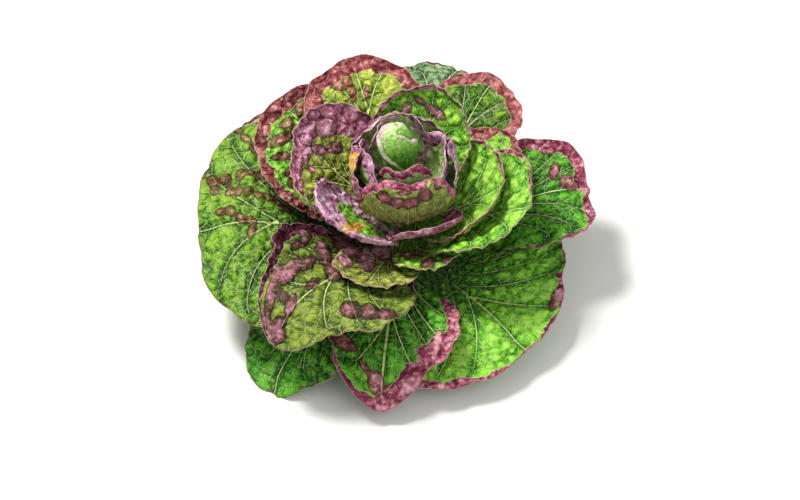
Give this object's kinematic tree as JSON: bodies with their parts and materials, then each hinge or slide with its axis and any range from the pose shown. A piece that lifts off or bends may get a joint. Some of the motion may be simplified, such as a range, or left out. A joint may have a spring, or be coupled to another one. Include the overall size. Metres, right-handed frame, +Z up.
{
  "type": "butterhead lettuce",
  "caption": "Open butterhead lettuce with waved, purple-edged leaves in nested rings round a dense heart, on a trimmed stem with a flat cut end.",
  "frame": {"origin": "middle of the stem's flat cut face, which is the lowest point that the head rests on", "axes": "+Z up along the stem through the heart, -Y towards the side the picture was taken from, +X to the right of the picture"},
  "size_m": [0.3044, 0.3306, 0.1368],
  "materials": {
    "stem": "pale green fibrous stem, cream and slightly browned at the cut",
    "heart": "fresh light green, smooth wrapped leaves with fine veins",
    "outer_leaf": "bright to deep green blistered leaf, pale veins, purple edge, soft sheen",
    "middle_leaf": "yellow-green blistered leaf with purple-brown patches and edge, soft sheen",
    "inner_leaf": "olive and pale green leaf with a crinkled purple edge, soft sheen",
    "frill_leaf": "small frilled leaf, pale green inside, mauve and purple edge"
  },
  "bodies": {
    "root": {"stem": "stem", "heart": "heart", "leaf_front_left_low": "outer_leaf", "leaf_front_right": "outer_leaf", "leaf_back_low": "outer_leaf", "leaf_back_right_low": "outer_leaf", "leaf_back_left_low": "outer_leaf", "leaf_right": "outer_leaf", "leaf_front": "outer_leaf", "leaf_left": "outer_leaf", "leaf_back_right": "outer_leaf", "leaf_front_left": "outer_leaf", "leaf_back_left": "middle_leaf", "leaf_back": "middle_leaf", "leaf_upper_right": "middle_leaf", "leaf_front_small": "middle_leaf", "leaf_right_bowl": "middle_leaf", "leaf_front_tip": "middle_leaf", "leaf_left_cupped": "middle_leaf", "leaf_front_curled": "middle_leaf", "leaf_right_cupped": "middle_leaf", "leaf_front_folded": "middle_leaf", "leaf_back_folded": "middle_leaf", "cup_leaf_front": "inner_leaf", "cup_leaf_right": "inner_leaf", "cup_leaf_back": "inner_leaf", "cup_leaf_left": "inner_leaf", "frill_leaf_left": "frill_leaf", "frill_leaf_right": "frill_leaf", "frill_leaf_back": "frill_leaf", "frill_leaf_front": "frill_leaf"}
  },
  "joints": []
}
